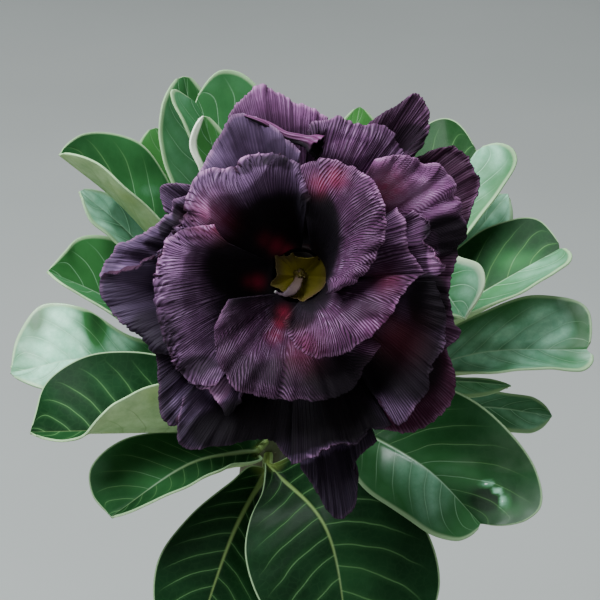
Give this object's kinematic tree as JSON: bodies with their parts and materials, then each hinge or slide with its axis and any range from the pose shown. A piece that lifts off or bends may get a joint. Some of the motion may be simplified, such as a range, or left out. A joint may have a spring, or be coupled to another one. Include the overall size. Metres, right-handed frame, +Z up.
{
  "type": "potted desert rose plant",
  "caption": "Potted desert rose with one dark purple, nearly black double bloom over a whorl of glossy leaves, on a swollen stem in a plain clay pot of gritty soil.",
  "frame": {"origin": "centre of the pot's flat underside", "axes": "+Z up along the pot's axis; the bloom faces the front, -Y, and looks 25 degrees up; +X to the viewer's right"},
  "size_m": [0.1469, 0.1264, 0.2786],
  "materials": {
    "clay": "matt fired clay",
    "grit": "rough",
    "bark": "matt",
    "leaf": "glossy",
    "petal": "velvety",
    "throat": "satin",
    "stamen": "satin",
    "sepal": "satin"
  },
  "bodies": {
    "root": {"pot": "clay", "soil": "grit", "stem": "bark", "corolla": "petal", "throat": "throat", "anthers": "stamen", "calyx": "sepal", "leafBottomLeft": "leaf", "leafRightBehind": "leaf", "leafLowerLeft": "leaf", "leafBottom": "leaf", "leafLeftGlossy": "leaf", "leafRightLow": "leaf", "leafBackLeft": "leaf", "leafLeftFolded": "leaf", "leafRight": "leaf", "leafLeftSmall": "leaf", "leafTopRightBehind": "leaf", "leafUnderUpperLeft": "leaf", "leafTop": "leaf", "leafTopLeftBehind": "leaf", "leafUpperRight": "leaf", "leafUpperLeft": "leaf", "leafLowerRight": "leaf", "leafTopRight": "leaf", "leafTopLeft": "leaf", "leafRightYoung": "leaf", "leafWhiteEdge": "leaf"}
  },
  "joints": []
}
